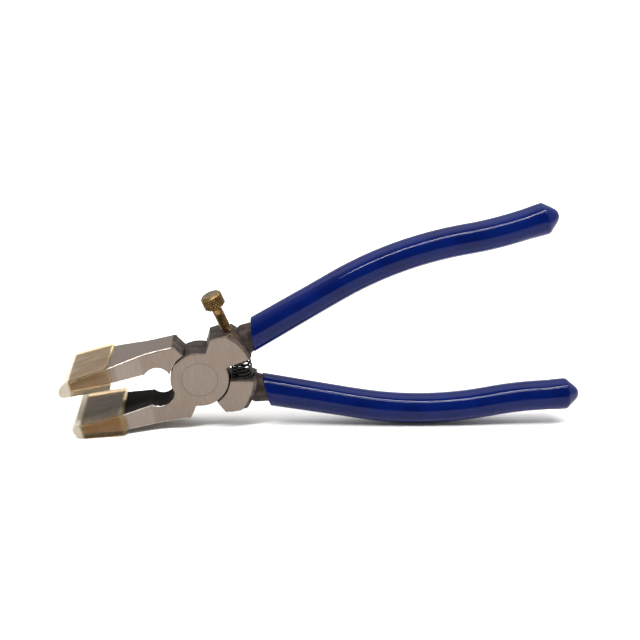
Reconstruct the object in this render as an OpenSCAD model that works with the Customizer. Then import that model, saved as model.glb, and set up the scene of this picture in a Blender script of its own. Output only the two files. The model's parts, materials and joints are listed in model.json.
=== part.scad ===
// Running pliers for breaking scored glass.
// Two crossing forged halves turn on a flush rivet. Each half carries one wide jaw, one lap disc,
// a shoulder and a handle tang. A spring between the shoulders opens the jaws, and a thumb screw
// through the upper shoulder limits how far they close.
// Row frame: X runs from the jaws (-X) to the handles (+X), Z is up, Y is the thickness direction.

/* [Stance] */
// Slope of the long axis where the pliers stand on a jaw cap and a grip, in degrees
axis_tilt = 11.22; // [0:0.01:20]
// Distance from the middle of the overall box back to the pivot, along X
pivot_back = 49.21; // [40:0.01:60]
// Height of the pivot above the surface they stand on
pivot_up = 21.75; // [15:0.01:30]

/* [Joint] */
// Thickness of the ground body
body_t = 13; // [11:0.5:15]
// Radius of the lap discs
disc_r = 11.5; // [10:0.1:12]
// Radius of the rivet's flush heads
rivet_head_r = 7; // [6:0.1:8]
// Radius of the rivet's shank
rivet_r = 4.5; // [3:0.1:5]
// Gap between each lap face and the middle plane
lap_gap = 0.05; // [0.02:0.01:0.1]
// Gap round each lap disc
disc_gap = 0.3; // [0.2:0.05:0.5]

/* [Jaws] */
// Distance from the pivot to the metal tip of a jaw
jaw_len = 48.7; // [44:0.1:52]
// Height of a jaw's outer face above the long axis, at its root
back_root_z = 15.6; // [15:0.1:17]
// Height of a jaw's outer face above the long axis, at its tip
back_tip_z = 11.2; // [10.5:0.1:12]
// Radius of the outer face's long curve
back_r = 260; // [150:1:500]
// Height of a jaw's inner face above the long axis, next to the scoop
bite_root_z = 6.6; // [6.4:0.1:7]
// Height of a jaw's inner face above the long axis, at its tip
bite_tip_z = 7.8; // [7:0.1:8.5]
// Width of a jaw at its tip, one inch
tip_w = 25.4; // [24:0.1:30]
// Width of a jaw where its quick flare ends
flare_w = 20.8; // [18:0.1:24]
// Radius of the concave flare
flare_r = 22; // [10:1:30]
// Radius of the round scoop between the jaws
scoop_r = 5.5; // [5.2:0.1:6]

/* [Jaw caps] */
// Wall of a moulded cap
cap_wall = 1.3; // [1:0.1:1.6]
// Length of the solid nose in front of the metal
cap_nose = 2.9; // [2:0.1:4]
// Overall length of a cap
cap_len = 19.2; // [16:0.1:21]
// How far the cap's rear edge bows out on each side
cap_bow = 1.2; // [0.5:0.1:1.5]
// Angle that the upper cap sits askew on its jaw, in degrees
cap_skew = 3; // [0:0.5:3]
// How far the upper cap has worked forwards off its jaw
cap_slip = 0.9; // [0:0.1:1.5]
// How far the upper cap hangs down on its jaw
cap_drop = 0.4; // [0:0.1:0.5]

/* [Shoulders] */
// Radius of the shoulder's ground edge round the pivot
shoulder_r = 21.2; // [20.5:0.1:22]
// Height of the shoulder's outer face above the long axis
shoulder_z = 16.3; // [15.5:0.1:17]
// Slope of each shoulder's inner face away from the long axis, in degrees
gap_slope = 10; // [8:0.1:11]
// Height of each shoulder's inner face above the long axis, next to the lap disc
gap_z = 2.8; // [2.5:0.1:3.2]

/* [Handles] */
// Half the depth of a vinyl grip across the opening
grip_r = 6; // [5.8:0.05:6.6]
// Extra half depth of a grip at its mouth
mouth_extra = 0.35; // [0:0.05:0.8]
// Half the thickness of a vinyl grip along Y
grip_y = 6.3; // [5.8:0.05:7]
// Swelling of a grip just before its tip
bulge = 0.35; // [0:0.05:0.8]
// Half the depth of the steel tang across the opening
tang_r = 4.9; // [4:0.05:5]
// Half the thickness of the steel tang along Y
tang_y = 5; // [4:0.05:5.2]
// Distance from the pivot to the mouth of a grip, along the long axis
mouth_x = 24.4; // [24:0.1:26]
// Height of the handle's middle line above the long axis, at the mouth
mouth_z = 12.1; // [11.8:0.1:12.6]
// Lean of the mouth away from square to the long axis, in degrees
mouth_lean = -3; // [-6:0.5:3]
// Slope of the straight first stretch of a handle, in degrees
splay = 21.2; // [18:0.1:23]
// Length of the straight first stretch
straight_l = 37.5; // [30:0.5:45]
// Radius of the long inward bend
bend_r = 142; // [120:1:200]
// Angle of the long inward bend, in degrees
bend_a = 21.6; // [15:0.2:24]
// Radius of the outward flick near the end
flick_r = 137; // [80:1:200]
// Angle of the outward flick, in degrees
flick_a = 8; // [3:0.5:12]
// Length of the straight end, with the blunt tip
end_l = 17; // [14:0.1:22]
// How much further down its handle the upper grip is dipped
upper_dip = 1; // [0:0.5:1]
// How much flatter the upper handle is set, in degrees
upper_set = 0.35; // [0:0.05:0.5]

/* [Thumb screw] */
// Major radius of the thread
screw_r = 2.1; // [1.8:0.05:2.4]
// Length of the screw under its head
screw_l = 23.6; // [22:0.1:28]
// Radius of the knurled head
head_r = 4.25; // [3.5:0.05:5]
// Height of the knurled head
head_h = 5.8; // [4:0.1:7]
// Lean of the screw back towards the jaws, in degrees from square to the long axis
screw_lean = 12; // [10:0.1:13]
// Place on the long axis that the screw's line crosses
screw_x = 17.4; // [16.8:0.1:17.6]
// How far the screw's tip stands out of the bottom of its spring seat
tip_out = 2.6; // [2:0.1:3]

/* [Return spring] */
// Mean radius of the coils
coil_r = 3.75; // [3.5:0.05:3.8]
// Radius of the wire
wire_r = 0.45; // [0.4:0.05:0.5]
// Number of turns
turns = 6.5; // [5:0.5:6.5]
// Depth of each spring seat
seat_depth = 2; // [1.5:0.1:2.2]

/* [Hidden] */
$fn = 96;
CUT = 0.01;
half_t = body_t / 2;

// ---- placing ----

// Turns the long axis frame into the row frame. In the long axis frame x runs to the handles,
// z across the opening, and the origin is the pivot.
module stand() {
  translate([-pivot_back, 0, pivot_up]) rotate([0, -axis_tilt, 0]) children();
}

// Half a turn about the long axis, which carries one half's shape to the other half.
module other_side() {
  rotate([180, 0, 0]) children();
}

// A side view outline in x and z, with a thickness along Y.
module slab(w) {
  rotate([90, 0, 0]) translate([0, 0, -w / 2]) linear_extrude(w) children();
}

// A round bar along Y, centred on the pivot.
module across(r, y0, y1) {
  translate([0, y0, 0]) rotate([-90, 0, 0]) cylinder(r = r, h = y1 - y0);
}

function step(p, a, d) = [p[0] + d * cos(a), p[1] + d * sin(a)];

// ---- jaws ----

root_x = -6.7;
bite_x = -20.6;
scoop_x = -16.4;
scoop_top_z = 8.2;
back_slope = atan((back_root_z - back_tip_z) / (root_x + jaw_len));
back_mid = [(root_x - jaw_len) / 2, (back_root_z + back_tip_z) / 2];
back_half_l = norm([root_x + jaw_len, back_root_z - back_tip_z]) / 2;
back_drop = sqrt(pow(back_r, 2) - pow(back_half_l, 2));

// Height of the outer face's curve and of the inner face at a place along the jaw.
function back_z(x) = back_mid[1] - back_drop * cos(back_slope)
  + sqrt(pow(back_r, 2) - pow(x - back_mid[0] - back_drop * sin(back_slope), 2));
function bite_z(x) = bite_root_z + (bite_tip_z - bite_root_z) * (bite_x - x) / (bite_x + jaw_len);

// The disc whose edge is the outer face's long curve, grown outwards by a wall.
module back_curve(grow) {
  translate([back_mid[0] + back_drop * sin(back_slope), back_mid[1] - back_drop * cos(back_slope)])
    circle(r = back_r + grow, $fn = 1440);
}

module jaw_outline() {
  difference() {
    polygon([
      [-3.5, 10.6], [root_x, back_root_z], [-jaw_len, back_tip_z], [-jaw_len, bite_tip_z],
      [bite_x, bite_root_z], [bite_x, 4], [-10.5, 4], [-2, 6]
    ]);
    translate([scoop_x, scoop_top_z - scoop_r]) circle(r = scoop_r);
  }
  intersection() {
    back_curve(0);
    polygon([
      [root_x, back_root_z], [-jaw_len, back_tip_z],
      [-jaw_len, back_tip_z + 5], [root_x, back_root_z + 5]
    ]);
  }
}

// Half of a jaw's top view, from the middle line out to the flared side.
flare_x = -18;
flare_end_x = -31;
flare_a = atan((flare_w / 2 - half_t) / (flare_x - flare_end_x));
flare_t = flare_r * tan(flare_a / 2);

module flare_side(grow) {
  difference() {
    polygon([
      [30, -1], [30, half_t + grow], [flare_x + flare_t, half_t + grow],
      [flare_x - flare_t * cos(flare_a), half_t + flare_t * sin(flare_a) + grow],
      [flare_end_x, flare_w / 2 + grow],
      [-jaw_len, tip_w / 2 + grow],
      [-jaw_len - 10, tip_w / 2 + grow + 0.5], [-jaw_len - 10, -1]
    ]);
    translate([flare_x + flare_t, half_t + flare_r + grow]) circle(r = flare_r, $fn = 240);
  }
}

module flare_plan(grow) {
  flare_side(grow);
  mirror([0, 1]) flare_side(grow);
}

module jaw() {
  intersection() {
    slab(40) jaw_outline();
    linear_extrude(30) flare_plan(0);
  }
}

// ---- shoulder, neck and tang ----

module shoulder_outline() {
  intersection() {
    polygon([
      [4.4, 10.6], [7.1, 15.9], [9.5, shoulder_z], [14.8, shoulder_z + 0.2], [18, 16], [26, 12],
      [21.2, 6], step([11, gap_z], gap_slope, 9.2), [11, gap_z], [2, 6]
    ]);
    circle(r = shoulder_r, $fn = 240);
  }
}

// The forged flank that the grinding leaves just outside the shoulder's ground edge.
flank_t = 12;

module flank_outline() {
  intersection() {
    polygon([
      [16, 4.2], [20.8, 4.5], [22.1, 5.5], [22.8, 7.4], [21, 12], [16, 16.1], [12, 16.1], [12, 12], [15, 10]
    ]);
    circle(r = shoulder_r + 1.4, $fn = 240);
  }
}

// The handle's middle line: a straight stretch, a long inward bend and a short outward flick.
bend_from = step([mouth_x, mouth_z], splay, straight_l);
bend_c = step(bend_from, splay - 90, bend_r);
low_a = splay - bend_a;
bend_to = step(bend_c, low_a + 90, bend_r);
flick_c = step(bend_to, low_a + 90, flick_r);
end_a = low_a + flick_a;
flick_to = step(flick_c, end_a - 90, flick_r);

s_bend = straight_l;
s_flick = s_bend + bend_r * bend_a * PI / 180;
s_end = s_flick + flick_r * flick_a * PI / 180;
grip_l = s_end + end_l;

function path_angle(s) =
  s < s_bend ? splay
  : s < s_flick ? splay - (s - s_bend) / bend_r * 180 / PI
  : s < s_end ? low_a + (s - s_flick) / flick_r * 180 / PI
  : end_a;

function path_point(s) =
  s < s_bend ? step([mouth_x, mouth_z], splay, s)
  : s < s_flick ? step(bend_c, path_angle(s) + 90, bend_r)
  : s < s_end ? step(flick_c, path_angle(s) - 90, flick_r)
  : step(flick_to, end_a, s - s_end);

// One ring of a bar round the middle line, lifted off it if asked. Rings near the mouth lie in
// the mouth's plane, and those further along are square to the middle line.
bar_sides = 32;
lean_l = 9;

function bar_ring(s, ry, rz, lift = 0) =
  let (
    a = path_angle(s),
    along = min(1, max(0, s / lean_l)),
    lean = a * along + mouth_lean * (1 - along),
    reach = rz / cos(a - lean),
    p = path_point(s) + [0, lift]
  )
  [for (j = [0 : bar_sides - 1]) let (t = 360 * j / bar_sides)
    [p[0] - reach * sin(t) * sin(lean), ry * cos(t), p[1] + reach * sin(t) * cos(lean)]];

// A closed skin over a list of rings.
module skin(rings, sides) {
  last = len(rings) - 1;
  polyhedron(
    [for (r = rings) each r],
    concat(
      [[for (j = [0 : sides - 1]) j]],
      [for (i = [0 : last - 1], j = [0 : sides - 1])
        [i * sides + j, (i + 1) * sides + j,
         (i + 1) * sides + (j + 1) % sides, i * sides + (j + 1) % sides]],
      [[for (j = [sides - 1 : -1 : 0]) last * sides + j]]
    )
  );
}

// Places along the handle where rings stand.
tang_end = grip_l - 10;
stops = [0, 3, 6, lean_l, each [for (i = [1 : 3]) lean_l + (s_bend - lean_l) * i / 3],
         each [for (i = [1 : 8]) s_bend + (s_flick - s_bend) * i / 8],
         each [for (i = [1 : 3]) s_flick + (s_end - s_flick) * i / 3]];
tang_stops = [for (s = stops) if (s < tang_end - 1) s];

function near_mouth(s) = min(1, max(0, 1 - s / 18));
function tang_ring(s) = bar_ring(s, tang_y, tang_r + 0.5 * near_mouth(s), -0.7 * near_mouth(s));

tang_rings = [each [for (s = [each tang_stops, tang_end]) tang_ring(s)],
              bar_ring(tang_end + 2, tang_y * 0.7, tang_r * 0.7)];

// The rough neck and the tang, from inside the shoulder to the tang's blunt end.
module tang() {
  skin([bar_ring(-8, 5.2, 4.6, 0.5), bar_ring(-6, 5.4, 5.3, 0.5), bar_ring(-3.5, 5.3, 5.8, -0.55),
        tang_ring(-1), each tang_rings], bar_sides);
}

// Turns a handle slightly about the middle of its grip, which sets it flatter or steeper.
module set_handle(turn) {
  translate([97, 0, 33]) rotate([0, turn, 0]) translate([-97, 0, -33]) children();
}

// ---- forged halves ----

// One forging, drawn with its jaw above the long axis and its handle below it. Its disc is the
// far layer of the lap, and it is cut away round the other half's disc in the near layer.
module forging(turn) {
  difference() {
    union() {
      jaw();
      other_side() slab(body_t) shoulder_outline();
      other_side() slab(flank_t) flank_outline();
      across(disc_r, 0, half_t);
    }
    across(disc_r + disc_gap, -half_t - CUT, lap_gap);
  }
  other_side() set_handle(turn) tang();
}

rivet_head_t = 3;
rivet_rim_t = 0.6;

module rivet_shape(gap, over) {
  across(rivet_r + gap, -half_t, half_t);
  for (side = [0, 180]) rotate([side, 0, 0]) translate([0, half_t - rivet_head_t, 0]) rotate([-90, 0, 0]) {
    cylinder(r1 = rivet_r + gap, r2 = rivet_head_r + gap, h = rivet_head_t - rivet_rim_t);
    translate([0, 0, rivet_head_t - rivet_rim_t]) cylinder(r = rivet_head_r + gap, h = rivet_rim_t + over);
  }
}

// The screw's line, with z running up it and z = 0 on the long axis.
module on_screw() {
  translate([screw_x, 0, 0]) rotate([0, -screw_lean, 0]) children();
}

seat_r = coil_r + wire_r + 0.2;
// Distance up the screw's line from the long axis to the shoulder's inner face.
face_d = (gap_z + (screw_x - 11) * tan(gap_slope)) / (cos(screw_lean) + sin(screw_lean) * tan(gap_slope));
seat_d = face_d + seat_depth;

module spring_seat() {
  on_screw() cylinder(r = seat_r, h = seat_d);
}

module back_half() {
  color([0.55, 0.52, 0.49]) stand() difference() {
    forging(0);
    rivet_shape(0, CUT);
    other_side() spring_seat();
  }
}

module front_half() {
  color([0.60, 0.57, 0.54]) stand() difference() {
    other_side() forging(upper_set);
    rivet_shape(0.05, CUT);
    spring_seat();
    on_screw() cylinder(r = screw_r + 0.05, h = 30);
  }
}

module pivot_rivet() {
  color([0.66, 0.62, 0.58]) stand() rivet_shape(0, 0);
}

// ---- jaw caps ----

cap_tip_x = -jaw_len - cap_nose;
cap_rear_x = cap_tip_x + cap_len;
cap_nose_x = cap_tip_x + 4.6;
cap_rear_lo = bite_z(cap_rear_x) - cap_wall;
cap_rear_hi = back_z(cap_rear_x) + cap_wall;
cap_rear_half = (cap_rear_hi - cap_rear_lo) / 2;
cap_bow_r = (pow(cap_rear_half, 2) + pow(cap_bow, 2)) / (2 * cap_bow);

module cap_outline() {
  intersection() {
    back_curve(cap_wall);
    polygon([
      [cap_rear_x, cap_rear_hi + 3], [cap_nose_x, back_z(cap_nose_x) + cap_wall + 0.4],
      [cap_tip_x + 1, back_tip_z - 0.2], [cap_tip_x, back_tip_z - 1.8], [cap_tip_x, bite_tip_z - 0.2],
      [cap_tip_x + 1, bite_tip_z - cap_wall], [cap_rear_x, cap_rear_lo]
    ]);
  }
  intersection() {
    translate([cap_rear_x + cap_bow - cap_bow_r, cap_rear_lo + cap_rear_half]) circle(r = cap_bow_r);
    translate([cap_rear_x - CUT, 0]) square([5, 30]);
  }
}

// A cap is moulded square and may sit a little askew, forwards and low on its jaw.
module cap(skew, slip, drop) {
  difference() {
    translate([-jaw_len - slip, 0, -drop]) rotate([0, 0, -skew]) translate([jaw_len, 0, 0]) intersection() {
      slab(40) cap_outline();
      linear_extrude(30) flare_plan(cap_wall);
    }
    jaw();
  }
}

module upper_jaw_cap() {
  color([0.82, 0.78, 0.64, 0.8]) stand() cap(cap_skew, cap_slip, cap_drop);
}

module lower_jaw_cap() {
  color([0.78, 0.72, 0.56, 0.8]) stand() other_side() cap(0, 0, 0);
}

// ---- grips ----

// Height of the grip's outside, half its depth, with a little more at the mouth.
function grip_z(s) = grip_r + mouth_extra * min(1, max(0, 1 - s / 30));

// The dipped sleeve: its cavity from the blind end out to the mouth, then its outside to the tip.
module grip(dip) {
  cavity = dip > 0 ? [tang_ring(-dip), each tang_rings] : tang_rings;
  inside = [for (i = [len(cavity) - 1 : -1 : 0]) cavity[i]];
  outside = [
    bar_ring(-dip, grip_y - 0.3, grip_z(0) - 0.3), bar_ring(0.4 - dip, grip_y - 0.05, grip_z(0) - 0.05),
    bar_ring(1.2 - dip, grip_y, grip_z(1.2 - dip)),
    each [for (s = stops) if (s > 1.2 && s < grip_l - 12) bar_ring(s, grip_y, grip_z(s))],
    bar_ring(grip_l - 11, grip_y, grip_r + 0.15), bar_ring(grip_l - 5.5, grip_y, grip_r + bulge),
    bar_ring(grip_l - 4.7, grip_y - 0.4, grip_r + bulge - 0.4),
    bar_ring(grip_l - 1.8, grip_y * 0.56, grip_r * 0.56),
    bar_ring(grip_l - 0.5, grip_y * 0.32, grip_r * 0.33), bar_ring(grip_l, grip_y * 0.14, grip_r * 0.15)
  ];
  skin([each inside, each outside], bar_sides);
}

module upper_grip() {
  color([0.04, 0.10, 0.52]) stand() set_handle(upper_set) grip(upper_dip);
}

module lower_grip() {
  color([0.04, 0.10, 0.48]) stand() other_side() grip(0);
}

// ---- return spring ----

// The coils fan out from one seat to the other, so each coil lies in a plane through a far point
// on the long axis.
fan_from = seat_d - wire_r - 0.05;
fan_r = fan_from / tan(screw_lean);
fan_x = screw_x - seat_d * sin(screw_lean) - fan_r * cos(screw_lean);
coil_steps = 28;
wire_sides = 8;
wire_rings = round(turns * coil_steps);

function wire_ring(i) =
  let (
    turn = 360 * i / coil_steps,
    fan = screw_lean * (2 * i / wire_rings - 1)
  )
  [for (j = [0 : wire_sides - 1])
    let (
      side = 360 * j / wire_sides,
      out = fan_r + (coil_r + wire_r * cos(side)) * cos(turn),
      off = (coil_r + wire_r * cos(side)) * sin(turn),
      up = -wire_r * sin(side)
    )
    [fan_x + out * cos(fan) - up * sin(fan), off, out * sin(fan) + up * cos(fan)]];

module return_spring() {
  color([0.06, 0.06, 0.06]) stand() skin([for (i = [0 : wire_rings]) wire_ring(i)], wire_sides);
}

// ---- thumb screw ----

tip_d = seat_d - tip_out;
under_head_d = tip_d + screw_l;

module thumb_screw_shank() {
  color([0.66, 0.48, 0.24]) stand() on_screw() {
    translate([0, 0, tip_d + 0.5]) cylinder(r = screw_r, h = screw_l - 0.5);
    translate([0, 0, tip_d]) cylinder(r1 = screw_r - 0.5, r2 = screw_r, h = 0.5);
  }
}

module thumb_screw_head() {
  chamfer = 0.8;
  color([0.62, 0.46, 0.24]) stand() on_screw() translate([0, 0, under_head_d]) {
    cylinder(r1 = head_r - chamfer, r2 = head_r, h = chamfer);
    translate([0, 0, chamfer]) cylinder(r = head_r, h = head_h - 2 * chamfer);
    translate([0, 0, head_h - chamfer]) cylinder(r1 = head_r, r2 = head_r - chamfer, h = chamfer);
  }
}

// ---- assembly ----

back_half();
front_half();
pivot_rivet();
upper_jaw_cap();
lower_jaw_cap();
upper_grip();
lower_grip();
return_spring();
thumb_screw_shank();
thumb_screw_head();
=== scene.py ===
"""Looks for the running pliers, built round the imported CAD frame. Shapes are in millimetres in the long
axis frame (x to the handles, z across the opening, origin at the pivot). The floor, the lights and the
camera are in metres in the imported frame."""

import json
import math

import bmesh
import bpy
import numpy as np
from mathutils import Matrix, Vector, noise


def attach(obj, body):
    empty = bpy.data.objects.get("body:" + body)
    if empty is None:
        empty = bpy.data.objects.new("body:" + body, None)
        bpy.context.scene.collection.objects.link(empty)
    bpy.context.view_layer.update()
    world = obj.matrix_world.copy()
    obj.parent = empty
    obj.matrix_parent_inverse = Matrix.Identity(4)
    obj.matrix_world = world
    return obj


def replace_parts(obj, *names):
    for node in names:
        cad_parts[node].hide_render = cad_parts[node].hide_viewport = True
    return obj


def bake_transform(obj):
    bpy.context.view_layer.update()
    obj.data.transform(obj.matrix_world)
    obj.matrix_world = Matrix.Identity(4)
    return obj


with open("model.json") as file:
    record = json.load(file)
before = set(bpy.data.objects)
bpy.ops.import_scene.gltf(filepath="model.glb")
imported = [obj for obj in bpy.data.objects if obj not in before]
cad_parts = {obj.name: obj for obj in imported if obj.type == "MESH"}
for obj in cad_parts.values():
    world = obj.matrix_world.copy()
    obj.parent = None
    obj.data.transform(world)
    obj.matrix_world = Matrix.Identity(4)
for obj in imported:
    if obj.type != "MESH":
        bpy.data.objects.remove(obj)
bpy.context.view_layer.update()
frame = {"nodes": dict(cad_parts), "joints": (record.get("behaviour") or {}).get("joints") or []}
scene = bpy.context.scene

# ---- the long axis frame, as in the CAD ----

TILT = math.radians(11.22)
PIVOT = Vector(next(j for j in frame["joints"] if j["name"] == "jaw_pivot")["pos_m"])
MM = 0.001
LONG = Matrix.Translation(PIVOT) @ Matrix.Rotation(-TILT, 4, "Y") @ Matrix.Scale(MM, 4)
OTHER_SIDE = Matrix.Rotation(math.pi, 4, "X")


def step(p, angle, d):
    """The place reached from p in the x, z plane by a step of length d at an angle in degrees."""
    return (p[0] + d * math.cos(math.radians(angle)), p[1] + d * math.sin(math.radians(angle)))


# ---- mesh helpers ----

WELD_M = 1e-7


def add_object(name, mesh):
    ob = bpy.data.objects.new(name, mesh)
    scene.collection.objects.link(ob)
    return ob


def loft(name, rings, place):
    """A smooth skin over rings of points, closed at both ends, with its points set down by a matrix."""
    n = len(rings[0])
    faces = []
    for i in range(len(rings) - 1):
        for j in range(n):
            k = (j + 1) % n
            faces.append((i * n + j, i * n + k, (i + 1) * n + k, (i + 1) * n + j))
    faces.append(tuple(reversed(range(n))))
    faces.append(tuple((len(rings) - 1) * n + j for j in range(n)))
    mesh = bpy.data.meshes.new(name)
    mesh.from_pydata([place @ Vector(p) for r in rings for p in r], [], faces)
    bm = bmesh.new()
    bm.from_mesh(mesh)
    bmesh.ops.recalc_face_normals(bm, faces=bm.faces)
    bm.to_mesh(mesh)
    bm.free()
    mesh.shade_smooth()
    return add_object(name, mesh)


def evaluated(ob):
    """The object's mesh with its modifiers applied."""
    mesh = bpy.data.meshes.new_from_object(ob.evaluated_get(bpy.context.evaluated_depsgraph_get()))
    ob.modifiers.clear()
    ob.data = mesh
    return ob


def cad_copy(node, name, flat_angle=None):
    """A CAD node's mesh with its corners welded and, if an angle is given, its flat faces joined."""
    mesh = frame["nodes"][node].data.copy()
    mesh.name = name
    mesh.materials.clear()
    bm = bmesh.new()
    bm.from_mesh(mesh)
    bmesh.ops.remove_doubles(bm, verts=bm.verts, dist=WELD_M)
    if flat_angle is not None:
        bmesh.ops.dissolve_limit(bm, angle_limit=math.radians(flat_angle), verts=bm.verts, edges=bm.edges)
    bm.to_mesh(mesh)
    bm.free()
    return mesh


def rounded_copy(node, name, voxel, rounds):
    """A copy of a CAD node with its edges worn round, as one even skin."""
    ob = add_object(name, cad_copy(node, name))
    remesh = ob.modifiers.new("skin", "REMESH")
    remesh.mode = "VOXEL"
    remesh.voxel_size = voxel * MM
    remesh.use_smooth_shade = True
    smooth = ob.modifiers.new("wear", "SMOOTH")
    smooth.factor = 0.5
    smooth.iterations = rounds
    return evaluated(ob)


def beveled_copy(node, name, width, angle):
    """A copy of a CAD node with fine round edges and its flat faces left flat."""
    mesh = cad_copy(node, name, flat_angle=0.5)
    mesh.shade_smooth()
    ob = add_object(name, mesh)
    edge = ob.modifiers.new("edge", "BEVEL")
    edge.width = width * MM
    edge.segments = 4
    edge.limit_method = "ANGLE"
    edge.angle_limit = math.radians(angle)
    flat = ob.modifiers.new("flat", "WEIGHTED_NORMAL")
    flat.keep_sharp = False
    return ob


def points_of(mesh):
    """The places and normals of a mesh's vertices."""
    co = np.empty(len(mesh.vertices) * 3)
    no = np.empty(len(mesh.vertices) * 3)
    mesh.vertices.foreach_get("co", co)
    mesh.vertex_normals.foreach_get("vector", no)
    return co.reshape(-1, 3), no.reshape(-1, 3)


def to_long(co):
    """Places in the long axis frame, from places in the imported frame."""
    back = np.array(LONG.inverted())
    return co @ back[:3, :3].T + back[:3, 3]


def ramp(x, lo, hi):
    """A smooth step from 0 at lo to 1 at hi, which runs down if lo is the higher."""
    t = np.clip((x - lo) / (hi - lo), 0, 1)
    return t * t * (3 - 2 * t)


def unit(x):
    """A number held between 0 and 1."""
    return min(1, max(0, x))


# ---- places that the looks share with the shapes ----

HALF_THICK = 6.5
RIVET_R = 7.0
JAW_FROM_X, CAP_REAR_X, CAP_NOSE_X = -8.0, -32.4, -48.6
SCREW_X, LEAN = 17.4, math.radians(12)
# the upper grip is dipped a little further than the lower one, and turned a little about a point in it
UPPER_DIP, UPPER_SET, SET_AT = 1.0, math.radians(0.35), Vector((97, 0, 33))
SET_HANDLE = Matrix.Translation(SET_AT) @ Matrix.Rotation(UPPER_SET, 4, "Y") @ Matrix.Translation(-SET_AT)

# ---- colours, as linear values; a pair has two tones that noise mixes ----

GROUND_TONES = (0.146, 0.118, 0.099, 1), (0.196, 0.159, 0.134, 1)
GROUND_STAIN = (0.160, 0.121, 0.095, 1)
LAP_RUST = (0.15, 0.10, 0.07, 1)
SCALE_TONES = (0.014, 0.0095, 0.008, 1), (0.040, 0.028, 0.024, 1)
SCALE_DUST = (0.08, 0.06, 0.05, 1)
SCALE_BROWN = (0.10, 0.055, 0.022, 1)
JAW_INSIDE_TONES = (0.007, 0.006, 0.006, 1), (0.016, 0.014, 0.013, 1)
# worn edge colour: partly bright bare steel, partly a painted highlight
WORN_EDGE_HIGHLIGHT = (0.62, 0.56, 0.51, 1)
RIVET_TONES = (0.147, 0.120, 0.103, 1), (0.198, 0.162, 0.138, 1)
RIVET_RUST = (0.13, 0.085, 0.06, 1)
GRIP_TONES = (0.0003, 0.0040, 0.054, 1), (0.0008, 0.0066, 0.074, 1)
CAP_TONES = (0.82, 0.71, 0.52, 1), (0.55, 0.43, 0.28, 1)
CAP_AMBER = (0.64, 0.39, 0.15, 1)
# a darker colour for cloudy patches on the inner faces of the lower cap
CAP_INNER_DARK = (0.17, 0.135, 0.085, 1)
CAP_RIM = (0.62, 0.54, 0.33, 1)
CAP_NOSE = (0.58, 0.53, 0.44, 1)
WIRE_TONES = (0.004, 0.004, 0.004, 1), (0.014, 0.013, 0.012, 1)
BRASS_TONES = (0.20, 0.122, 0.046, 1), (0.09, 0.055, 0.023, 1)
BRASS_GLINT = (0.38, 0.26, 0.11, 1)
BRASS_GROOVE = (0.02, 0.012, 0.005, 1)
FLOOR_WHITE = (0.93, 0.925, 0.915, 1)
SKY_WHITE = (1.0, 0.99, 0.98, 1)
TUBE_WHITE = (1.0, 0.985, 0.965)

# ---- materials ----


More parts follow.
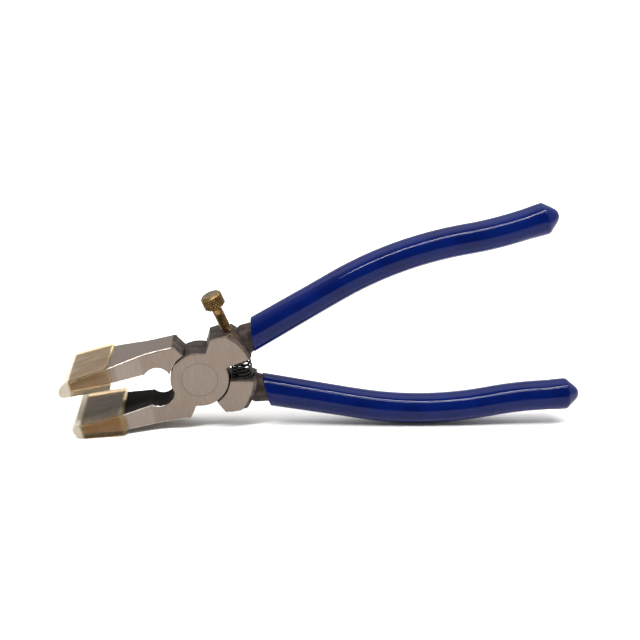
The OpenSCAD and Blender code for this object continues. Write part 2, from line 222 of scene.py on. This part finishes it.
class Nodes:
    """A short way to write a node tree."""

    def __init__(self, name):
        self.mat = bpy.data.materials.new(name)
        self.mat.use_nodes = True
        self.tree = self.mat.node_tree
        self.bsdf = next(n for n in self.tree.nodes if n.type == "BSDF_PRINCIPLED")
        self.coord = self.new("ShaderNodeTexCoord")

    def new(self, kind, **values):
        node = self.tree.nodes.new(kind)
        for k, v in values.items():
            setattr(node, k, v)
        return node

    def link(self, a, b):
        self.tree.links.new(a, b)

    def feed(self, socket, value):
        """Give a socket either another node's output or a plain value."""
        if hasattr(value, "is_output"):
            self.link(value, socket)
        else:
            socket.default_value = value

    def math(self, op, a, b=None):
        n = self.new("ShaderNodeMath", operation=op)
        self.feed(n.inputs[0], a)
        if b is not None:
            self.feed(n.inputs[1], b)
        return n.outputs[0]

    def radius(self, a, b):
        squares = self.math("ADD", self.math("POWER", a, 2.0), self.math("POWER", b, 2.0))
        return self.math("SQRT", squares)

    def smooth(self, value, lo, hi, out_lo=0.0, out_hi=1.0):
        """A smooth step, as ramp() does for arrays."""
        n = self.new("ShaderNodeMapRange", interpolation_type="SMOOTHSTEP")
        self.feed(n.inputs["Value"], value)
        for key, v in (("From Min", lo), ("From Max", hi), ("To Min", out_lo), ("To Max", out_hi)):
            n.inputs[key].default_value = v
        return n.outputs["Result"]

    def mix(self, factor, a, b):
        n = self.new("ShaderNodeMix", data_type="RGBA")
        self.feed(n.inputs["Factor"], factor)
        self.feed(n.inputs["A"], a)
        self.feed(n.inputs["B"], b)
        return n.outputs["Result"]

    def blend(self, factor, a, b):
        n = self.new("ShaderNodeMix", data_type="FLOAT")
        self.feed(n.inputs["Factor"], factor)
        self.feed(n.inputs["A"], a)
        self.feed(n.inputs["B"], b)
        return n.outputs["Result"]

    def long_mm(self):
        """Place in the long axis frame, in millimetres."""
        n = self.new("ShaderNodeMapping", vector_type="TEXTURE")
        n.inputs["Location"].default_value = PIVOT
        n.inputs["Rotation"].default_value = (0, -TILT, 0)
        n.inputs["Scale"].default_value = (MM, MM, MM)
        self.link(self.coord.outputs["Object"], n.inputs["Vector"])
        return n.outputs["Vector"]

    def long_normal(self):
        n = self.new("ShaderNodeMapping", vector_type="VECTOR")
        n.inputs["Rotation"].default_value = (0, TILT, 0)
        self.link(self.coord.outputs["Normal"], n.inputs["Vector"])
        return n.outputs["Vector"]

    def xyz(self, vector):
        n = self.new("ShaderNodeSeparateXYZ")
        self.link(vector, n.inputs[0])
        return n.outputs

    def scaled(self, vector, scale):
        n = self.new("ShaderNodeMapping")
        n.inputs["Scale"].default_value = scale
        self.link(vector, n.inputs["Vector"])
        return n.outputs["Vector"]

    def noise(self, vector, scale, detail=3.0, rough=0.55):
        n = self.new("ShaderNodeTexNoise")
        self.link(vector, n.inputs["Vector"])
        n.inputs["Scale"].default_value = scale
        n.inputs["Detail"].default_value = detail
        n.inputs["Roughness"].default_value = rough
        return n.outputs["Fac"]

    def bump(self, height, strength, distance):
        """A bumped normal, with its distance in metres."""
        n = self.new("ShaderNodeBump")
        n.inputs["Strength"].default_value = strength
        n.inputs["Distance"].default_value = distance
        self.link(height, n.inputs["Height"])
        return n.outputs["Normal"]

    def set(self, **values):
        """Feed the surface shader's sockets, each named with low lines for its spaces."""
        for key, v in values.items():
            self.feed(self.bsdf.inputs[key.replace("_", " ")], v)


def brushing(m, at, broad_scale):
    """Fine streaks across the tool as the grinder left them, and a tone that adds broad ones."""
    fine = m.noise(m.scaled(at, (9.0, 9.0, 0.22)), 1.0, 4.0, 0.65)
    broad = m.noise(m.scaled(at, broad_scale), 1.0, 3.0, 0.6)
    return fine, m.math("ADD", m.math("MULTIPLY", fine, 0.55), m.math("MULTIPLY", broad, 0.45))


def forged_steel():
    """Ground faces with fine cross brushing, worn edges painted bright as a highlight, and dark forging scale
    elsewhere.
    """
    m = Nodes("forged_steel")
    at = m.long_mm()
    p = m.xyz(at)
    n = m.xyz(m.long_normal())
    side = m.math("ABSOLUTE", n["Y"])
    height = m.math("ABSOLUTE", p["Z"])
    y_off = m.math("ABSOLUTE", p["Y"])
    full = m.smooth(y_off, HALF_THICK - 0.6, HALF_THICK - 0.3)
    flat = m.math("MULTIPLY", m.smooth(side, 0.86, 0.96), full)
    sign = m.math("SIGN", p["Z"])
    outward = m.math("MULTIPLY", n["Z"], sign)
    on_jaw = m.smooth(p["X"], JAW_FROM_X + 0.6, JAW_FROM_X - 0.6)
    back = m.math("MULTIPLY", m.smooth(outward, 0.6, 0.85), on_jaw)
    inner = m.math("MULTIPLY", m.smooth(outward, -0.2, -0.6), on_jaw)
    # the rounded edges, painted bright as a highlight: full strength on the jaw backs, faint elsewhere
    edge = m.math("MULTIPLY", m.math("MULTIPLY", m.smooth(side, 0.2, 0.45), m.smooth(side, 0.98, 0.86)), full)
    jaw_back = m.math("MULTIPLY", on_jaw, m.smooth(height, 6.0, 7.5))
    edge = m.math("MULTIPLY", edge, m.blend(jaw_back, 0.1, 1.0))
    ground = m.math("MAXIMUM", flat, back)

    brushed, tone = brushing(m, at, (1.3, 1.3, 0.12))
    cloud = m.noise(at, 0.11, 3.0)
    fine = m.noise(at, 2.6, 5.0, 0.7)
    patch = m.noise(at, 0.42, 4.0, 0.6)

    steel = m.mix(m.smooth(tone, 0.3, 0.7), *GROUND_TONES)
    steel = m.mix(m.smooth(cloud, 0.42, 0.72, 0, 0.3), steel, GROUND_STAIN)
    round_rivet = m.smooth(m.radius(p["X"], p["Z"]), RIVET_R + 0.7, RIVET_R + 0.05)
    rust = m.math("MULTIPLY", round_rivet, m.smooth(patch, 0.35, 0.7, 0.1, 0.55))
    steel = m.mix(rust, steel, LAP_RUST)
    scale = m.mix(m.smooth(patch, 0.38, 0.62), *SCALE_TONES)
    scale = m.mix(m.smooth(fine, 0.5, 0.75, 0, 0.5), scale, SCALE_DUST)
    warm = m.math("MULTIPLY", m.smooth(cloud, 0.5, 0.62), m.smooth(patch, 0.45, 0.6))
    scale = m.mix(m.math("MULTIPLY", warm, 0.7), scale, SCALE_BROWN)
    black = m.mix(m.smooth(fine, 0.35, 0.7), *JAW_INSIDE_TONES)
    colour = m.mix(inner, scale, black)
    colour = m.mix(ground, colour, steel)
    # painted highlight on the worn edges
    colour = m.mix(m.math("MULTIPLY", edge, 0.85), colour, WORN_EDGE_HIGHLIGHT)

    rough = m.blend(inner, m.smooth(fine, 0.3, 0.7, 0.5, 0.7), 0.85)
    rough = m.blend(ground, rough, m.smooth(tone, 0.3, 0.7, 0.36, 0.46))
    rough = m.blend(edge, rough, 0.22)
    dull = m.blend(inner, 0.5, 0.0)
    metal = m.math("MAXIMUM", m.math("MAXIMUM", ground, edge), dull)
    grain = m.bump(brushed, 0.15, 0.00002)
    pits = m.bump(m.math("ADD", m.math("MULTIPLY", fine, 0.6), patch), 0.5, 0.00012)
    chosen = m.new("ShaderNodeMix", data_type="VECTOR")
    m.feed(chosen.inputs["Factor"], ground)
    m.link(pits, chosen.inputs["A"])
    m.link(grain, chosen.inputs["B"])
    shine = m.blend(m.math("MAXIMUM", ground, edge), m.blend(inner, 0.3, 0.06), 0.5)
    m.set(Base_Color=colour, Roughness=rough, Metallic=metal, Specular_IOR_Level=shine,
          Normal=chosen.outputs["Result"])
    return m.mat


def rivet_steel():
    """The same ground steel as the halves, rusty at the head's edge."""
    m = Nodes("rivet_steel")
    at = m.long_mm()
    p = m.xyz(at)
    brushed, tone = brushing(m, at, (1.1, 1.1, 0.1))
    patch = m.noise(at, 0.42, 4.0, 0.6)
    steel = m.mix(m.smooth(tone, 0.3, 0.7), *RIVET_TONES)
    at_edge = m.smooth(m.radius(p["X"], p["Z"]), RIVET_R - 0.3, RIVET_R - 0.05)
    rust = m.math("MULTIPLY", at_edge, m.smooth(patch, 0.3, 0.7, 0.3, 0.7))
    colour = m.mix(rust, steel, RIVET_RUST)
    m.set(Base_Color=colour, Metallic=1.0, Roughness=m.smooth(tone, 0.3, 0.7, 0.34, 0.46),
          Normal=m.bump(brushed, 0.15, 0.00002))
    return m.mat


def dipped_vinyl():
    """Thick glossy vinyl with a slow ripple in its skin."""
    m = Nodes("blue_dipped_vinyl")
    at = m.long_mm()
    wide = m.noise(at, 0.09, 2.0)
    orange_peel = m.noise(at, 1.3, 2.0, 0.5)
    colour = m.mix(m.smooth(wide, 0.3, 0.7), *GRIP_TONES)
    m.set(Base_Color=colour, Roughness=m.smooth(orange_peel, 0.3, 0.7, 0.06, 0.09),
          Normal=m.bump(orange_peel, 0.04, 0.00005))
    m.bsdf.inputs["Specular IOR Level"].default_value = 0.14
    return m.mat


def cap_vinyl(name, amber, inner_dark):
    """Soft clear vinyl: cream, aged amber by one amount, and darker in cloudy patches towards the middle of
    its height by another, with a cloudy nose and rear rim."""
    m = Nodes(name)
    at = m.long_mm()
    p = m.xyz(at)
    cloud = m.noise(at, 0.16, 3.0)
    streak = m.noise(m.scaled(at, (0.05, 0.4, 0.4)), 1.0, 3.0, 0.6)
    rim = m.smooth(p["X"], CAP_REAR_X - 1.6, CAP_REAR_X - 0.6)
    nose = m.smooth(p["X"], CAP_NOSE_X + 0.8, CAP_NOSE_X - 0.8)
    height = m.math("ABSOLUTE", p["Z"])
    outer = m.smooth(height, 5.5, 8.5)
    colour = m.mix(m.smooth(streak, 0.4, 0.6), *CAP_TONES)
    aged = m.math("MULTIPLY", m.smooth(cloud, 0.36, 0.62, 0.35 * amber, amber), outer)
    colour = m.mix(aged, colour, CAP_AMBER)
    # darker in cloudy patches towards the middle of the cap's height, by the given amount
    dark_patches = m.math("MULTIPLY", m.smooth(m.noise(at, 0.3, 4.0), 0.42, 0.6, 0.35, 0.9), inner_dark)
    inside = m.math("MULTIPLY", m.smooth(height, 7.0, 5.0), dark_patches)
    colour = m.mix(inside, colour, CAP_INNER_DARK)
    colour = m.mix(m.math("MULTIPLY", rim, 0.7), colour, CAP_RIM)
    colour = m.mix(nose, colour, CAP_NOSE)
    m.set(Base_Color=colour, Roughness=m.smooth(streak, 0.3, 0.7, 0.07, 0.13),
          Transmission_Weight=m.blend(m.math("MAXIMUM", nose, m.math("MULTIPLY", rim, 0.15)), 0.93, 0.4))
    m.bsdf.inputs["IOR"].default_value = 1.18
    m.bsdf.inputs["Specular IOR Level"].default_value = 0.2
    return m.mat


def black_wire():
    m = Nodes("black_spring_wire")
    fine = m.noise(m.long_mm(), 2.2, 3.0)
    colour = m.mix(fine, *WIRE_TONES)
    m.set(Base_Color=colour, Roughness=m.smooth(fine, 0.3, 0.7, 0.28, 0.42), Metallic=0.5)
    return m.mat


def aged_brass(name, outer, depth, low, high):
    """Brass gone brown in its grooves, which lie below an outer radius between two heights on the screw."""
    m = Nodes(name)
    at = m.long_mm()
    n = m.new("ShaderNodeMapping", vector_type="TEXTURE")
    n.inputs["Location"].default_value = (SCREW_X, 0, 0)
    n.inputs["Rotation"].default_value = (0, -LEAN, 0)
    m.link(at, n.inputs["Vector"])
    p = m.xyz(n.outputs["Vector"])
    within = m.math("MULTIPLY", m.smooth(p["Z"], low, low + 0.2), m.smooth(p["Z"], high, high - 0.2))
    below = m.smooth(m.radius(p["X"], p["Y"]), outer - 0.02, outer - depth)
    groove = m.math("MULTIPLY", below, within)
    patch = m.noise(at, 0.8, 4.0, 0.6)
    fine = m.noise(at, 4.0, 3.0, 0.6)
    colour = m.mix(m.smooth(patch, 0.35, 0.68), *BRASS_TONES)
    colour = m.mix(m.smooth(fine, 0.55, 0.8, 0, 0.4), colour, BRASS_GLINT)
    colour = m.mix(m.math("MULTIPLY", groove, 0.95), colour, BRASS_GROOVE)
    m.set(Base_Color=colour, Metallic=1.0, Roughness=m.smooth(patch, 0.3, 0.7, 0.26, 0.42))
    return m.mat


# ---- forged halves ----

FORGING_VOXEL, WEAR_ROUNDS = 0.3, 4
LAP_R, FLUSH_R = 12.6, 8.2
SKIN_SINK, CAP_CLEARANCE = 0.03, 0.05


def lump(point):
    """The height of the forging's uneven skin at a point, as broad swells with finer ones on them."""
    broad = noise.noise(point * 0.35) * 0.11
    fine = noise.noise(point * 1.1) * 0.05
    return broad + fine


def forged_half(node, body):
    """A half with worn edges and, behind its jaw, an uneven skin that stops at the ground faces and the lap.
    It is kept flush round the rivet and drawn in a little under the jaw cap."""
    ob = rounded_copy(node, node + "_forging", FORGING_VOXEL, WEAR_ROUNDS)
    mesh = ob.data
    co, no = points_of(mesh)
    at = to_long(co)
    x, y, z = at.T
    radius = np.hypot(x, z)
    off_ground = ramp(np.abs(y), HALF_THICK - 0.05, HALF_THICK - 0.4)
    rough = off_ground * ramp(x, JAW_FROM_X - 1, JAW_FROM_X + 2) * np.where(radius < LAP_R, 0, 1)
    lumps = np.array([lump(Vector(q)) if r > 0 else 0.0 for q, r in zip(at, rough)])
    shrink = CAP_CLEARANCE * ramp(x, CAP_REAR_X + 0.5, CAP_REAR_X - 0.5)
    by_rivet = (radius < FLUSH_R) & (np.abs(y) > HALF_THICK - 0.45)
    co += no * ((lumps * rough - SKIN_SINK * rough - shrink) * MM)[:, None]
    co[by_rivet, 1] = np.sign(co[by_rivet, 1]) * HALF_THICK * MM
    mesh.vertices.foreach_set("co", co.ravel())
    mesh.update()
    mesh.materials.append(STEEL)
    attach(ob, body)
    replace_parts(ob, node)


STEEL = forged_steel()
forged_half("back_half", "back_body")
forged_half("front_half", "front_body")

# ---- rivet: its CAD shape is right, and its flush heads get a fine edge ----

rivet = frame["nodes"]["pivot_rivet"]
rivet.data.materials.clear()
rivet.data.materials.append(rivet_steel())
worn = rivet.modifiers.new("edge", "BEVEL")
worn.width = 0.08 * MM
worn.segments = 3
worn.limit_method = "ANGLE"
worn.angle_limit = math.radians(50)

# ---- jaw caps ----

CAP_EDGE, CAP_EDGE_ANGLE = 0.5, 25

for node, body, amber, inner_dark in (
    ("upper_jaw_cap", "back_body", 0.3, 0.0),
    ("lower_jaw_cap", "front_body", 0.95, 1.0),
):
    cap = beveled_copy(node, node + "_vinyl", CAP_EDGE, CAP_EDGE_ANGLE)
    cap.data.materials.append(cap_vinyl(node + "_vinyl", amber, inner_dark))
    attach(cap, body)
    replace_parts(cap, node)

# ---- grips ----

GRIP_Z, GRIP_Y, MOUTH_EXTRA, MOUTH_EXTRA_L = 6.0, 6.3, 0.35, 30
TANG_Z, TANG_Y, TANG_FIT, TANG_BULGE, TANG_DROP = 4.9, 5.0, 0.03, 0.5, 0.7
LIP_L, LIP_R, GRIP_SIDES, GRIP_RINGS = 1.2, 0.45, 48, 60
MOUTH, MOUTH_LEAN, LEAN_L = (24.4, 12.1), -3.0, 9.0
SPLAY, STRAIGHT_L, BEND_R, BEND_A, FLICK_R, FLICK_A, END_L = 21.2, 37.5, 142.0, 21.6, 137.0, 8.0, 17.0
BEND_FROM = step(MOUTH, SPLAY, STRAIGHT_L)
BEND_C = step(BEND_FROM, SPLAY - 90, BEND_R)
LOW_A = SPLAY - BEND_A
BEND_TO = step(BEND_C, LOW_A + 90, BEND_R)
FLICK_C = step(BEND_TO, LOW_A + 90, FLICK_R)
END_A = LOW_A + FLICK_A
FLICK_TO = step(FLICK_C, END_A - 90, FLICK_R)
S_BEND = STRAIGHT_L
S_FLICK = S_BEND + BEND_R * math.radians(BEND_A)
S_END = S_FLICK + FLICK_R * math.radians(FLICK_A)
GRIP_L = S_END + END_L
# the blunt wedge at the tip: distance back from the end, then the share of the grip's width in y and in z
TIP_FROM = 12
TIP_PROFILE = (
    (10, 1, 1.03), (8, 1, 1.045), (6.4, 1, 1.055), (5.6, 0.99, 1.053), (5.1, 0.97, 1.035),
    (4.6, 0.93, 0.98), (3.9, 0.83, 0.87), (3.2, 0.74, 0.765), (2.5, 0.65, 0.66), (1.8, 0.55, 0.555),
    (1.1, 0.43, 0.43), (0.55, 0.31, 0.32), (0.2, 0.2, 0.21), (0.05, 0.1, 0.11),
)


def path_angle(s):
    """The direction of the handle's middle line at a distance s along it, in degrees."""
    if s < S_BEND:
        return SPLAY
    if s < S_FLICK:
        return SPLAY - math.degrees((s - S_BEND) / BEND_R)
    if s < S_END:
        return LOW_A + math.degrees((s - S_FLICK) / FLICK_R)
    return END_A


def path_point(s):
    """A place on the handle's middle line: straight, bent in, flicked out, then straight."""
    if s < S_BEND:
        return step(MOUTH, SPLAY, s)
    if s < S_FLICK:
        return step(BEND_C, path_angle(s) + 90, BEND_R)
    if s < S_END:
        return step(FLICK_C, path_angle(s) - 90, FLICK_R)
    return step(FLICK_TO, END_A, s - S_END)


def bar_ring(s, ry, rz, lift=0.0):
    """One oval ring round the handle's middle line, square to it but near the mouth, where it leans."""
    a = path_angle(s)
    along = unit(s / LEAN_L)
    lean = math.radians(a * along + MOUTH_LEAN * (1 - along))
    reach = rz / math.cos(math.radians(a) - lean)
    px, pz = path_point(s)
    ring = []
    for j in range(GRIP_SIDES):
        t = 2 * math.pi * j / GRIP_SIDES
        up = reach * math.sin(t)
        ring.append((px - up * math.sin(lean), ry * math.cos(t), pz + lift + up * math.cos(lean)))
    return ring


def grip_z(s):
    """Half the grip's height, a little more near its mouth."""
    return GRIP_Z + MOUTH_EXTRA * unit(1 - s / MOUTH_EXTRA_L)


def grip(name, body, place, dip):
    """A dipped sleeve: a hollow mouth with a rolled lip, the long grip, and a blunt wedge at its tip."""
    rings = []
    for s in (7, 4, 2, 1):
        near = unit(1 - (s - dip) / 18)
        rz = TANG_Z + TANG_FIT + TANG_BULGE * near
        rings.append(bar_ring(s - dip, TANG_Y + TANG_FIT, rz, -TANG_DROP * near))
    lip_y, lip_z, lip_steps = TANG_Y + 0.05, TANG_Z + 0.55, 6
    for i in range(lip_steps + 1):
        t = math.pi * i / lip_steps
        s = LIP_R - LIP_R * math.sin(t) - dip
        out = 0.5 - 0.5 * math.cos(t)
        ry = lip_y + (GRIP_Y - lip_y) * out
        rz = lip_z + (grip_z(s) - lip_z) * out
        rings.append(bar_ring(s, ry, rz, -TANG_DROP * (1 - out)))
    rings.append(bar_ring(LIP_L - dip, GRIP_Y, grip_z(LIP_L - dip)))
    for i in range(1, GRIP_RINGS + 1):
        s = LIP_L + (GRIP_L - TIP_FROM - LIP_L) * i / GRIP_RINGS
        rings.append(bar_ring(s, GRIP_Y, grip_z(s)))
    for back, share_y, share_z in TIP_PROFILE:
        rings.append(bar_ring(GRIP_L - back, GRIP_Y * share_y, GRIP_Z * share_z))
    ob = loft(name, rings, place)
    sub = ob.modifiers.new("skin", "SUBSURF")
    sub.levels = sub.render_levels = 1
    evaluated(ob)
    ob.data.shade_smooth()
    ob.data.materials.append(VINYL)
    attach(ob, body)
    return ob


VINYL = dipped_vinyl()
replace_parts(grip("upper_grip_vinyl", "front_body", LONG @ SET_HANDLE, UPPER_DIP), "upper_grip")
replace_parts(grip("lower_grip_vinyl", "back_body", LONG @ OTHER_SIDE, 0), "lower_grip")

# ---- thumb screw ----

# half the gap between the shoulders is GAP_Z at GAP_X and grows by GAP_RISE; a distance ending in _D runs
# along the screw from the long axis
GAP_X, GAP_Z, GAP_RISE = 11, 2.8, math.tan(math.radians(10))
FACE_D = (GAP_Z + (SCREW_X - GAP_X) * GAP_RISE) / (math.cos(LEAN) + math.sin(LEAN) * GAP_RISE)
SEAT_D = FACE_D + 2.0
TIP_D = SEAT_D - 2.6
SCREW_L, SCREW_R, PITCH, COLLAR_L = 23.6, 2.1, 0.8, 2.8
HEAD_R, HEAD_H, HEAD_END = 4.25, 5.8, 0.85
THREAD_DEPTH, THREAD_FADE, THREAD_GROOVE = 0.55, 0.5, 0.3
TIP_TAPER, TIP_TAPER_L = 0.45, 0.9
COLLAR_DROP, COLLAR_DROP_L = 0.12, 0.3
KNURLS, KNURL_DEPTH, KNURL_LEAD, KNURL_GROOVE = 22, 0.34, 1.6, 0.24
ON_SCREW = LONG @ Matrix.Translation((SCREW_X, 0, 0)) @ Matrix.Rotation(-LEAN, 4, "Y")


def turned_ring(height, radii):
    """One ring of a turned piece, with the radius given at each of its evenly spaced sides."""
    turns = [2 * math.pi * j / len(radii) for j in range(len(radii))]
    return [(r * math.cos(t), r * math.sin(t), height) for t, r in zip(turns, radii)]


def threaded_shank():
    """A cut thread from the tip to a plain collar under the head."""
    sides, per_turn = 48, 12
    collar = SCREW_L - COLLAR_L
    rings = []
    levels = int(SCREW_L / PITCH * per_turn)
    for i in range(levels + 1):
        h = SCREW_L * i / levels
        fade = unit((collar - h) / THREAD_FADE)
        tip = unit(h / TIP_TAPER_L)
        radii = []
        for j in range(sides):
            along = (h / PITCH - j / sides) % 1
            tooth = unit(1.35 - abs(along * 2 - 1) * 2.2)
            r = SCREW_R - THREAD_DEPTH * (1 - tooth) * fade
            if h > collar:
                r = SCREW_R - COLLAR_DROP * unit((h - collar) / COLLAR_DROP_L)
            radii.append(r - TIP_TAPER * (1 - tip))
        rings.append(turned_ring(TIP_D + h, radii))
    ob = loft("thumb_screw_thread", rings, ON_SCREW)
    ob.data.materials.append(aged_brass("thread_brass", SCREW_R, THREAD_GROOVE, TIP_D, TIP_D + collar))
    return ob


def knurled_head():
    """A round head with crossed knurling, chamfers at both ends and a turned top."""
    sides, rows = 12 * KNURLS, 36
    foot = TIP_D + SCREW_L
    knurl_lo, knurl_hi = HEAD_END, HEAD_H - HEAD_END
    under = ((0.0, 1.9), (0.0, HEAD_R - 0.85), (0.12, HEAD_R - 0.7), (0.75, HEAD_R - 0.1))
    over = ((HEAD_H - 0.75, HEAD_R - 0.1), (HEAD_H - 0.12, HEAD_R - 0.7), (HEAD_H - 0.02, HEAD_R - 0.85),
            (HEAD_H, HEAD_R - 1.05), (HEAD_H - 0.03, HEAD_R - 1.6), (HEAD_H - 0.02, 0.8))
    rings = [turned_ring(foot + h, [r] * sides) for h, r in under]
    for i in range(rows + 1):
        h = knurl_lo + (knurl_hi - knurl_lo) * i / rows
        ends = unit(min(i, rows - i) / 2)
        radii = []
        for j in range(sides):
            right = abs(((j / sides * KNURLS + h / KNURL_LEAD) % 1) * 2 - 1)
            left = abs(((j / sides * KNURLS - h / KNURL_LEAD) % 1) * 2 - 1)
            groove = max(unit(1 - right * 2.4), unit(1 - left * 2.4))
            radii.append(HEAD_R - KNURL_DEPTH * groove * ends)
        rings.append(turned_ring(foot + h, radii))
    rings += [turned_ring(foot + h, [r] * sides) for h, r in over]
    ob = loft("thumb_screw_knurled_head", rings, ON_SCREW)
    ob.data.materials.append(aged_brass("head_brass", HEAD_R, KNURL_GROOVE, foot + knurl_lo, foot + knurl_hi))
    return ob


shank = threaded_shank()
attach(shank, "screw_shank")
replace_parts(shank, "thumb_screw_shank")
head = knurled_head()
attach(head, "screw_head")
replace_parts(head, "thumb_screw_head")

# ---- return spring ----

COIL_R, WIRE_R, TURNS, SEAT_CLEARANCE = 3.75, 0.45, 6.5, 0.05


def return_spring():
    """Coils that fan evenly from one seat to the other about a point in front of the pivot, with the wire's
    ends tapered."""
    fan_from = SEAT_D - WIRE_R - SEAT_CLEARANCE
    fan_r = fan_from / math.tan(LEAN)
    fan_x = SCREW_X - SEAT_D * math.sin(LEAN) - fan_r * math.cos(LEAN)
    per_turn, sides = 40, 12
    count = int(TURNS * per_turn)
    rings = []
    for i in range(count + 1):
        turn = 2 * math.pi * i / per_turn
        fan = LEAN * (2 * i / count - 1)
        wire = WIRE_R * unit(min(i, count - i) / 2 + 0.35)
        ring = []
        for j in range(sides):
            a = 2 * math.pi * j / sides
            out = fan_r + (COIL_R + wire * math.cos(a)) * math.cos(turn)
            off = (COIL_R + wire * math.cos(a)) * math.sin(turn)
            up = wire * math.sin(a)
            ring.append((fan_x + out * math.cos(fan) - up * math.sin(fan), off,
                         out * math.sin(fan) + up * math.cos(fan)))
        rings.append(ring)
    ob = loft("return_spring_coils", rings, LONG)
    ob.data.materials.append(black_wire())
    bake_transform(ob)
    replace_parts(ob, "return_spring")


return_spring()

# ---- floor, light and camera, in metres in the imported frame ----

FLOOR_DROP = 0.0001
# the room's light by direction: dim behind the camera, full beyond the tool
ROOM_LIGHT = (("From Min", -0.75), ("From Max", 0.15), ("To Min", 0.14), ("To Max", 1.0))
CAMERA_AT = (-0.02944, -0.46727, 0.24133)
CAMERA_TURN, CAMERA_TIP, CAMERA_ROLL = math.radians(-3.3325), math.radians(67.183), math.radians(1.257)
CAMERA_LENS, SENSOR_WIDTH = 73.1, 36
AIM = Vector((0, 0, 0))

floor_mesh = bpy.data.meshes.new("floor")
floor_mesh.from_pydata([(-5, -4, 0), (5, -4, 0), (5, 6, 0), (-5, 6, 0)], [], [(0, 1, 2, 3)])
floor = bpy.data.objects.new("floor", floor_mesh)
scene.collection.objects.link(floor)
floor_nodes = Nodes("pale_floor")
floor_nodes.set(Base_Color=FLOOR_WHITE, Roughness=0.9)
floor_mesh.materials.append(floor_nodes.mat)
floor.location.z = -FLOOR_DROP

world = bpy.data.worlds.new("soft_room")
scene.world = world
world.use_nodes = True
room = world.node_tree
background = room.nodes["Background"]
background.inputs["Color"].default_value = SKY_WHITE
direction = room.nodes.new("ShaderNodeTexCoord")
parts = room.nodes.new("ShaderNodeSeparateXYZ")
fade = room.nodes.new("ShaderNodeMapRange")
fade.interpolation_type = "SMOOTHSTEP"
for key, value in ROOM_LIGHT:
    fade.inputs[key].default_value = value
room.links.new(direction.outputs["Generated"], parts.inputs[0])
room.links.new(parts.outputs["Y"], fade.inputs["Value"])
room.links.new(fade.outputs["Result"], background.inputs["Strength"])


def strip(name, location, size, power):
    """A long soft light that faces the tool."""
    light = bpy.data.lights.new(name, "AREA")
    light.shape = "RECTANGLE"
    light.size, light.size_y = size
    light.energy = power
    light.color = TUBE_WHITE
    ob = bpy.data.objects.new(name, light)
    scene.collection.objects.link(ob)
    ob.location = location
    ob.rotation_euler = (AIM - Vector(location)).to_track_quat("-Z", "Y").to_euler()


strip("front_tube_high", (0.1, -0.26, 1.2), (2.0, 0.035), 21)
strip("front_tube_low", (0.1, -0.42, 1.15), (2.0, 0.02), 9)
strip("overhead_soft", (0.0, 0.6, 1.4), (2.4, 1.0), 12)

camera_data = bpy.data.cameras.new("camera")
camera_data.lens = CAMERA_LENS
camera_data.sensor_width = SENSOR_WIDTH
camera_data.clip_start = 0.01
camera_data.clip_end = 50
camera = bpy.data.objects.new("camera", camera_data)
scene.collection.objects.link(camera)
camera.matrix_world = (
    Matrix.Translation(CAMERA_AT)
    @ Matrix.Rotation(CAMERA_TURN, 4, "Z")
    @ Matrix.Rotation(CAMERA_TIP, 4, "X")
    @ Matrix.Rotation(CAMERA_ROLL, 4, "Z")
)
scene.camera = camera
scene.view_settings.view_transform = "Standard"
